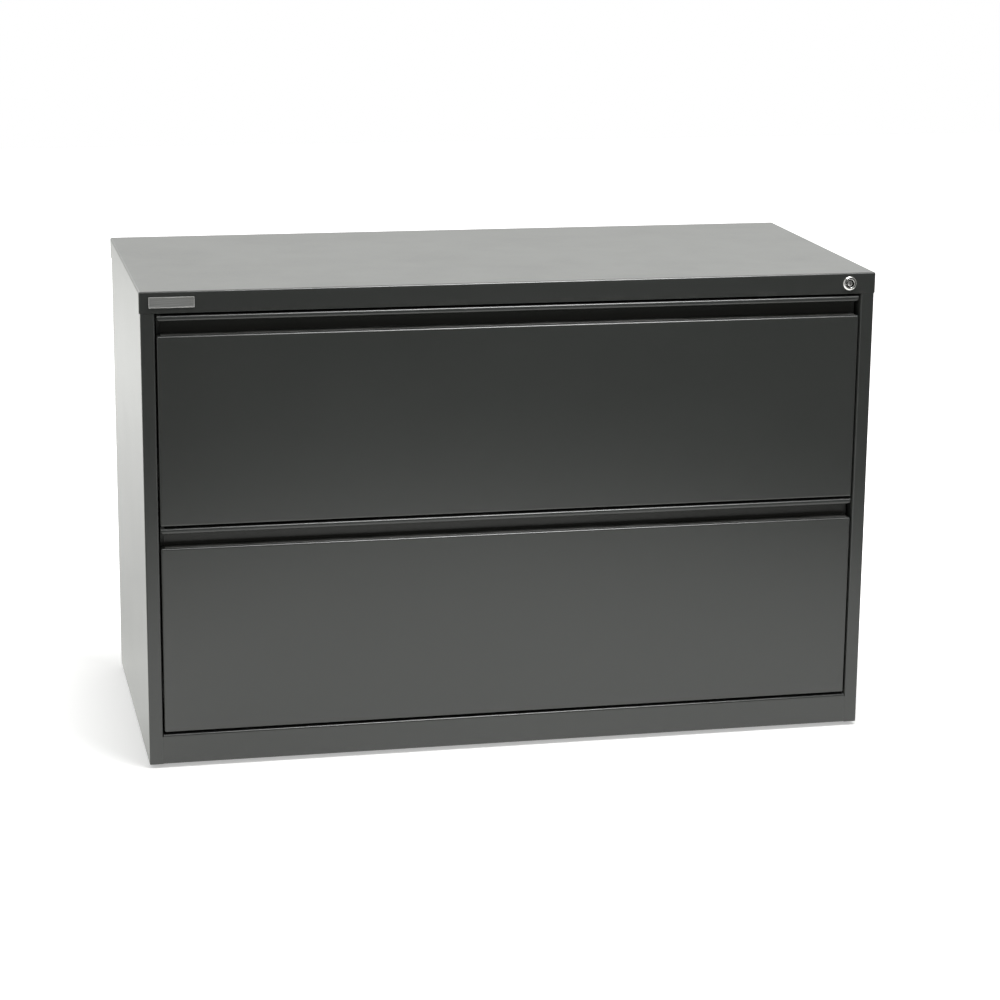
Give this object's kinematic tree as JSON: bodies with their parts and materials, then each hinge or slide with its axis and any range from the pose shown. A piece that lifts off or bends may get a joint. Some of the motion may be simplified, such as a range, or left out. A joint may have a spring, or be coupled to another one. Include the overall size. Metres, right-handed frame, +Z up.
{
  "type": "lateral filing cabinet",
  "caption": "Lateral filing cabinet in charcoal sheet steel, with full-width recessed pulls, drawers on full-extension slides, a cam lock with its lock bar, and levelling glides.",
  "frame": {"origin": "on the floor, under the middle of the cabinet's box", "axes": "+X to the right as seen from the front, +Y from the front to the back, +Z up"},
  "size_m": [1.067, 0.499, 0.692],
  "materials": {
    "charcoal_paint": "semi-gloss powder coat with a fine texture",
    "zinc_steel": "bright zinc plate",
    "chrome_lock": "polished nickel chrome",
    "lock_core": "satin steel with a dark collar",
    "brushed_plate": "brushed, with a bright rim",
    "raw_iron": "mill scale",
    "nylon": "natural nylon"
  },
  "bodies": {
    "cabinet": {"top_panel": "charcoal_paint", "left_side_panel": "charcoal_paint", "right_side_panel": "charcoal_paint", "back_panel": "charcoal_paint", "base_pan": "charcoal_paint", "base_front_rail": "charcoal_paint", "header_channel": "charcoal_paint", "counterweight": "raw_iron", "front_left_upright": "charcoal_paint", "front_right_upright": "charcoal_paint", "rear_left_upright": "charcoal_paint", "rear_right_upright": "charcoal_paint", "name_plate": "brushed_plate", "lock_housing": "chrome_lock", "lock_nut": "zinc_steel", "upper_lock_bar_guide": "nylon", "lower_lock_bar_guide": "nylon", "front_left_glide_nut": "zinc_steel", "front_right_glide_nut": "zinc_steel", "rear_left_glide_nut": "zinc_steel", "rear_right_glide_nut": "zinc_steel", "upper_left_slide_cabinet_member": "zinc_steel", "upper_right_slide_cabinet_member": "zinc_steel", "lower_left_slide_cabinet_member": "zinc_steel", "lower_right_slide_cabinet_member": "zinc_steel"},
    "upper_drawer": {"upper_drawer_face": "charcoal_paint", "upper_pull_channel": "charcoal_paint", "upper_drawer_inner_front": "charcoal_paint", "upper_drawer_left_side": "charcoal_paint", "upper_drawer_right_side": "charcoal_paint", "upper_drawer_bottom": "charcoal_paint", "upper_drawer_back": "charcoal_paint", "upper_front_hang_rail": "zinc_steel", "upper_rear_hang_rail": "zinc_steel", "upper_lock_catch": "zinc_steel", "upper_left_slide_drawer_member": "zinc_steel", "upper_right_slide_drawer_member": "zinc_steel"},
    "lower_drawer": {"lower_drawer_face": "charcoal_paint", "lower_pull_channel": "charcoal_paint", "lower_drawer_inner_front": "charcoal_paint", "lower_drawer_left_side": "charcoal_paint", "lower_drawer_right_side": "charcoal_paint", "lower_drawer_bottom": "charcoal_paint", "lower_drawer_back": "charcoal_paint", "lower_front_hang_rail": "zinc_steel", "lower_rear_hang_rail": "zinc_steel", "lower_lock_catch": "zinc_steel", "lower_left_slide_drawer_member": "zinc_steel", "lower_right_slide_drawer_member": "zinc_steel"},
    "upper_slide_middle": {"upper_left_slide_middle_member": "zinc_steel", "upper_right_slide_middle_member": "zinc_steel"},
    "lower_slide_middle": {"lower_left_slide_middle_member": "zinc_steel", "lower_right_slide_middle_member": "zinc_steel"},
    "lock_core": {"lock_plug": "lock_core", "lock_cam": "zinc_steel"},
    "lock_bar": {"lock_bar": "zinc_steel"},
    "front_left_glide": {"front_left_glide": "zinc_steel"},
    "front_right_glide": {"front_right_glide": "zinc_steel"},
    "rear_left_glide": {"rear_left_glide": "zinc_steel"},
    "rear_right_glide": {"rear_right_glide": "zinc_steel"}
  },
  "joints": [
    {"name": "upper_drawer_slide", "type": "slide", "parent": "cabinet", "child": "upper_drawer", "axis": [0, -1, 0], "range_m": [0, 0.4]},
    {"name": "lower_drawer_slide", "type": "slide", "parent": "cabinet", "child": "lower_drawer", "axis": [0, -1, 0], "range_m": [0, 0.4]},
    {"name": "upper_middle_slide", "type": "slide", "parent": "cabinet", "child": "upper_slide_middle", "axis": [0, -1, 0], "range_m": [0, 0.2]},
    {"name": "lower_middle_slide", "type": "slide", "parent": "cabinet", "child": "lower_slide_middle", "axis": [0, -1, 0], "range_m": [0, 0.2]},
    {"name": "lock_turn", "type": "hinge", "parent": "cabinet", "child": "lock_core", "pos_m": [0.4936, -0.2455, 0.67675], "axis": [0, -1, 0], "range_deg": [0, 90]},
    {"name": "lock_bar_lift", "type": "slide", "parent": "cabinet", "child": "lock_bar", "axis": [0, 0, 1], "range_m": [0, 0.01691]},
    {"name": "front_left_glide_screw", "type": "slide", "parent": "cabinet", "child": "front_left_glide", "axis": [0, 0, -1], "range_m": [0, 0.018]},
    {"name": "front_right_glide_screw", "type": "slide", "parent": "cabinet", "child": "front_right_glide", "axis": [0, 0, -1], "range_m": [0, 0.018]},
    {"name": "rear_left_glide_screw", "type": "slide", "parent": "cabinet", "child": "rear_left_glide", "axis": [0, 0, -1], "range_m": [0, 0.018]},
    {"name": "rear_right_glide_screw", "type": "slide", "parent": "cabinet", "child": "rear_right_glide", "axis": [0, 0, -1], "range_m": [0, 0.018]}
  ],
  "couplings": [
    {"joint": "upper_middle_slide", "follows": "upper_drawer_slide", "ratio": 0.5},
    {"joint": "lower_middle_slide", "follows": "lower_drawer_slide", "ratio": 0.5},
    {"joint": "lock_bar_lift", "follows": "lock_turn", "m_per_rad": 0.010759}
  ]
}
